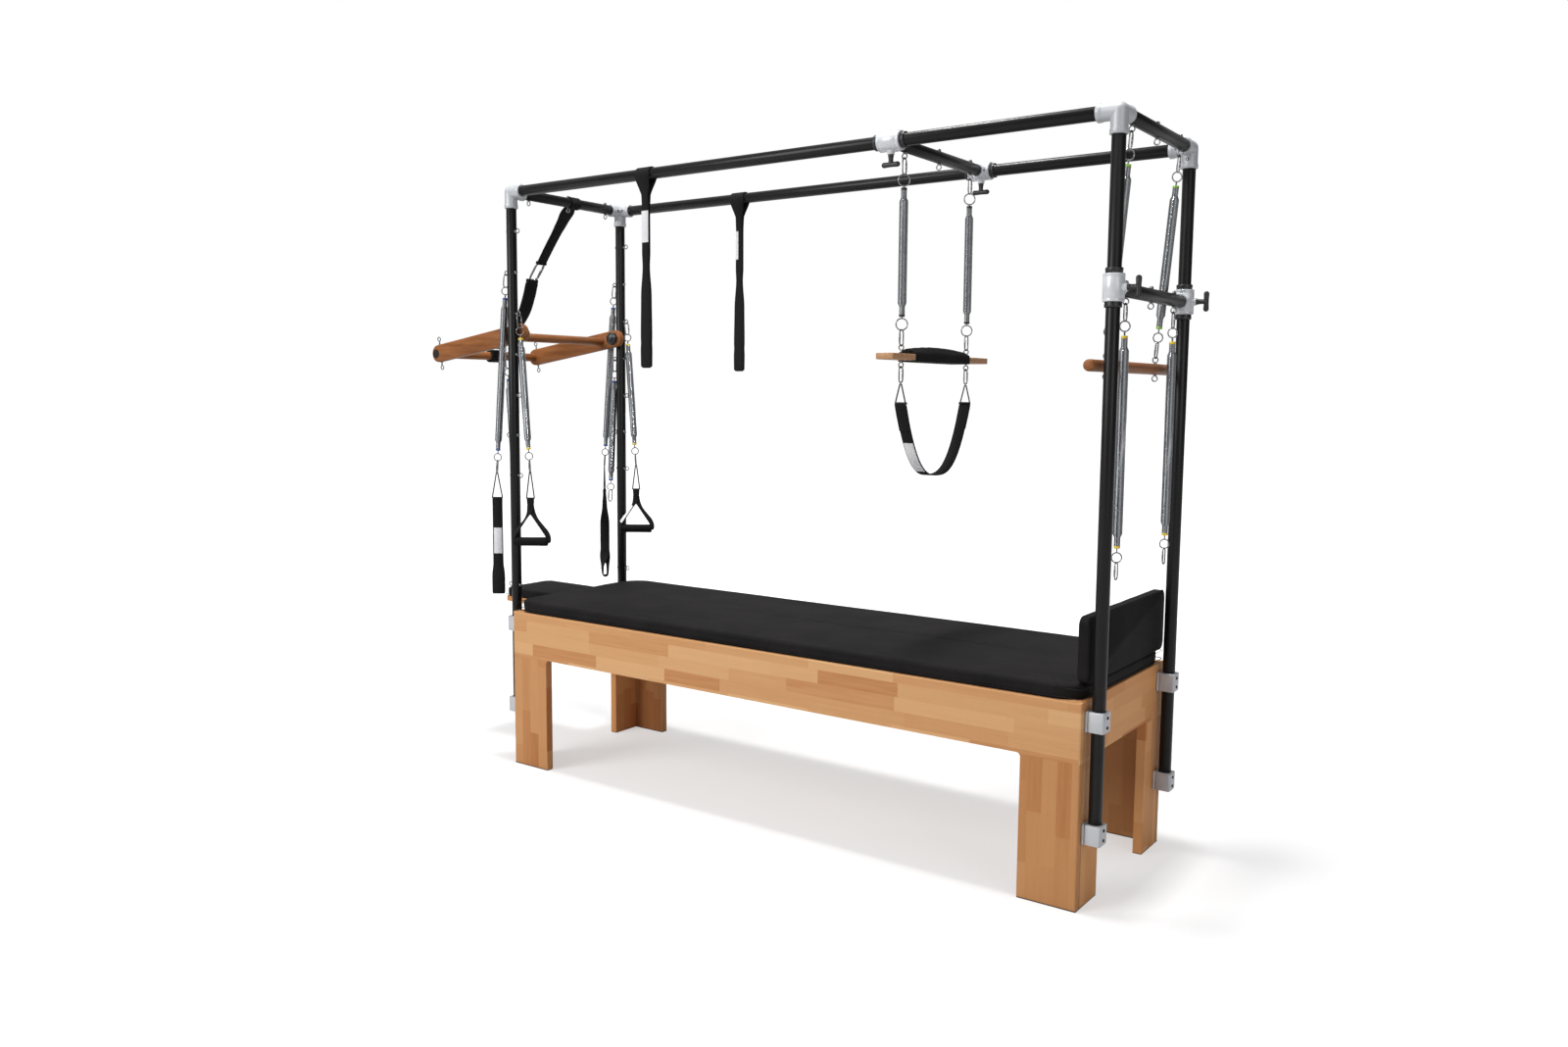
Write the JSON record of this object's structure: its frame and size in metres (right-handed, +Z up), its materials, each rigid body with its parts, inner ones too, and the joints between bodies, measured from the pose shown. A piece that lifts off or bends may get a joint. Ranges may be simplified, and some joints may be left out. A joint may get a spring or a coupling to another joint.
{
  "type": "pilates trapeze table",
  "caption": "Padded wooden bench under a four-post tubular canopy with sliding crossbars, hanging springs, a trapeze, a roll-down dowel and a push-through bar.",
  "frame": {"origin": "on the floor under the middle of the whole table's box", "axes": "+X along the bench toward the end with the upright pad, +Y toward the far side, +Z up"},
  "size_m": [2.9108, 0.6874, 2.19],
  "materials": {
    "beech": "satin",
    "dark_wood": "satin",
    "black_vinyl": "satin",
    "black_tube": "satin",
    "cast_fitting": "satin",
    "grey_sleeve": "gloss",
    "black_knob": "satin",
    "bright_steel": "polished",
    "black_webbing": "matte"
  },
  "bodies": {
    "table": {"side_panel_near": "beech", "side_panel_far": "beech", "end_panel_left": "beech", "end_panel_right": "beech", "top_deck": "beech", "extension_board": "beech", "mat": "black_vinyl", "extension_pad": "black_vinyl", "post_near_left": "black_tube", "post_near_right": "black_tube", "post_far_left": "black_tube", "post_far_right": "black_tube", "rail_near": "black_tube", "rail_far": "black_tube", "cross_tube_left": "black_tube", "cross_tube_right": "black_tube", "corner_near_left": "cast_fitting", "corner_near_right": "cast_fitting", "corner_far_left": "cast_fitting", "corner_far_right": "cast_fitting", "safety_strap": "black_webbing"},
    "end_block": {"end_block": "black_vinyl"},
    "slider": {"slider_tube": "black_tube", "slider_sleeve_near": "grey_sleeve", "slider_sleeve_far": "grey_sleeve"},
    "slider_knob_near": {"slider_knob_near": "black_knob"},
    "slider_knob_far": {"slider_knob_far": "black_knob"},
    "trapeze_springs": {"trapeze_spring_near": "bright_steel", "trapeze_spring_far": "bright_steel"},
    "trapeze_board": {"trapeze_board": "beech", "trapeze_cover": "black_vinyl"},
    "trapeze_sling": {"trapeze_sling": "black_webbing"},
    "slide_bar": {"slide_bar_tube": "black_tube", "slide_bar_sleeve_near": "grey_sleeve", "slide_bar_sleeve_far": "grey_sleeve"},
    "slide_bar_knob_near": {"slide_bar_knob_near": "black_knob"},
    "slide_bar_knob_far": {"slide_bar_knob_far": "black_knob"},
    "side_spring_near": {"side_spring_near": "bright_steel"},
    "side_spring_far": {"side_spring_far": "bright_steel"},
    "rolldown_springs": {"rolldown_spring_near": "bright_steel", "rolldown_spring_far": "bright_steel"},
    "rolldown_bar": {"rolldown_bar": "dark_wood"},
    "push_bar": {"arm_near": "dark_wood", "arm_far": "dark_wood", "bar_handle": "dark_wood", "bar_stiffener": "dark_wood"},
    "bar_knob_near": {"bar_knob_near": "black_knob"},
    "bar_knob_far": {"bar_knob_far": "black_knob"},
    "outer_spring_near": {"outer_spring_near": "bright_steel"},
    "outer_spring_far": {"outer_spring_far": "bright_steel"},
    "inner_spring_near": {"inner_spring_near": "bright_steel"},
    "inner_spring_far": {"inner_spring_far": "bright_steel"},
    "free_spring_near": {"free_spring_near": "bright_steel"},
    "free_spring_far": {"free_spring_far": "bright_steel"},
    "loop_near": {"loop_near": "black_webbing"},
    "loop_far": {"loop_far": "black_webbing"},
    "handle_near": {"handle_near": "black_webbing"},
    "handle_far": {"handle_far": "black_webbing"},
    "hanging_strap_near": {"hanging_strap_near": "black_webbing"},
    "hanging_strap_far": {"hanging_strap_far": "black_webbing"}
  },
  "joints": [
    {"name": "end_block_lift", "type": "slide", "parent": "table", "child": "end_block", "axis": [0, 0, 1], "range_m": [0, 0.25]},
    {"name": "slider_travel", "type": "slide", "parent": "table", "child": "slider", "axis": [1, 0, 0], "range_m": [-0.83, 0.5]},
    {"name": "slider_knob_near_turn", "type": "hinge", "parent": "slider", "child": "slider_knob_near", "pos_m": [0.69619, -0.2925, 2.094], "axis": [0, 0, 1], "continuous": true},
    {"name": "slider_knob_far_turn", "type": "hinge", "parent": "slider", "child": "slider_knob_far", "pos_m": [0.69619, 0.2925, 2.094], "axis": [0, 0, 1], "continuous": true},
    {"name": "trapeze_spring_swing", "type": "hinge", "parent": "slider", "child": "trapeze_springs", "pos_m": [0.69619, 0, 2.131], "axis": [0, 1, 0], "range_deg": [-35, 35]},
    {"name": "trapeze_board_tilt", "type": "hinge", "parent": "trapeze_springs", "child": "trapeze_board", "pos_m": [0.69619, 0, 1.56474], "axis": [0, 1, 0], "range_deg": [-30, 30]},
    {"name": "trapeze_sling_swing", "type": "hinge", "parent": "trapeze_board", "child": "trapeze_sling", "pos_m": [0.69619, 0, 1.51174], "axis": [0, 1, 0], "range_deg": [-45, 45]},
    {"name": "slide_bar_height", "type": "slide", "parent": "table", "child": "slide_bar", "axis": [0, 0, 1], "range_m": [-0.7, 0]},
    {"name": "slide_bar_knob_near_turn", "type": "hinge", "parent": "slide_bar", "child": "slide_bar_knob_near", "pos_m": [1.45219, -0.2925, 1.707], "axis": [1, 0, 0], "continuous": true},
    {"name": "slide_bar_knob_far_turn", "type": "hinge", "parent": "slide_bar", "child": "slide_bar_knob_far", "pos_m": [1.45219, 0.2925, 1.707], "axis": [1, 0, 0], "continuous": true},
    {"name": "side_spring_near_swing", "type": "hinge", "parent": "slide_bar", "child": "side_spring_near", "pos_m": [1.38519, -0.2, 1.677], "axis": [0, -1, 0], "range_deg": [0, 45]},
    {"name": "side_spring_far_swing", "type": "hinge", "parent": "slide_bar", "child": "side_spring_far", "pos_m": [1.38519, 0.2, 1.677], "axis": [0, -1, 0], "range_deg": [0, 45]},
    {"name": "rolldown_spring_swing", "type": "hinge", "parent": "table", "child": "rolldown_springs", "pos_m": [1.38519, 0, 2.131], "axis": [0, -1, 0], "range_deg": [-45, 0]},
    {"name": "rolldown_bar_tilt", "type": "hinge", "parent": "rolldown_springs", "child": "rolldown_bar", "pos_m": [1.33697, 0, 1.53168], "axis": [0, 1, 0], "range_deg": [-20, 30]},
    {"name": "push_bar_swing", "type": "hinge", "parent": "table", "child": "push_bar", "pos_m": [-0.94481, 0, 1.643], "axis": [0, 1, 0], "range_deg": [0, 60], "deforming": ["safety_strap"]},
    {"name": "bar_knob_near_turn", "type": "hinge", "parent": "push_bar", "child": "bar_knob_near", "pos_m": [-0.94481, -0.24, 1.643], "axis": [0, 1, 0], "continuous": true},
    {"name": "bar_knob_far_turn", "type": "hinge", "parent": "push_bar", "child": "bar_knob_far", "pos_m": [-0.94481, 0.24, 1.643], "axis": [0, 1, 0], "continuous": true},
    {"name": "outer_spring_near_swing", "type": "hinge", "parent": "table", "child": "outer_spring_near", "pos_m": [-0.97781, -0.2925, 1.866], "axis": [0, 1, 0], "range_deg": [0, 45]},
    {"name": "outer_spring_far_swing", "type": "hinge", "parent": "table", "child": "outer_spring_far", "pos_m": [-0.97781, 0.2925, 1.866], "axis": [0, 1, 0], "range_deg": [0, 45]},
    {"name": "inner_spring_near_swing", "type": "hinge", "parent": "table", "child": "inner_spring_near", "pos_m": [-0.91181, -0.2925, 1.714], "axis": [0, 1, 0], "range_deg": [-45, 0]},
    {"name": "inner_spring_far_swing", "type": "hinge", "parent": "table", "child": "inner_spring_far", "pos_m": [-0.91181, 0.2925, 1.714], "axis": [0, 1, 0], "range_deg": [-45, 0]},
    {"name": "free_spring_near_swing", "type": "hinge", "parent": "table", "child": "free_spring_near", "pos_m": [-0.97781, -0.2925, 1.554], "axis": [1, 0, 0], "range_deg": [0, 40]},
    {"name": "free_spring_far_swing", "type": "hinge", "parent": "table", "child": "free_spring_far", "pos_m": [-0.97781, 0.2925, 1.554], "axis": [1, 0, 0], "range_deg": [-40, 0]},
    {"name": "loop_near_swing", "type": "hinge", "parent": "outer_spring_near", "child": "loop_near", "pos_m": [-1.04798, -0.2925, 1.10762], "axis": [-0.585, 0.8111, 0], "range_deg": [-5, 45]},
    {"name": "loop_far_swing", "type": "hinge", "parent": "outer_spring_far", "child": "loop_far", "pos_m": [-1.04402, 0.2925, 1.10726], "axis": [-0.585, 0.8111, 0], "range_deg": [-5, 45]},
    {"name": "handle_near_swing", "type": "hinge", "parent": "inner_spring_near", "child": "handle_near", "pos_m": [-0.86189, -0.2925, 1.11746], "axis": [-0.585, 0.8111, 0], "range_deg": [-45, 4]},
    {"name": "handle_far_swing", "type": "hinge", "parent": "inner_spring_far", "child": "handle_far", "pos_m": [-0.86189, 0.2925, 1.11746], "axis": [-0.585, 0.8111, 0], "range_deg": [-45, 4]},
    {"name": "hanging_strap_near_swing", "type": "hinge", "parent": "table", "child": "hanging_strap_near", "pos_m": [-0.26981, -0.2925, 2.161], "axis": [1, 0, 0], "range_deg": [-45, 45]},
    {"name": "hanging_strap_far_swing", "type": "hinge", "parent": "table", "child": "hanging_strap_far", "pos_m": [-0.31981, 0.2925, 2.161], "axis": [1, 0, 0], "range_deg": [-45, 45]}
  ]
}
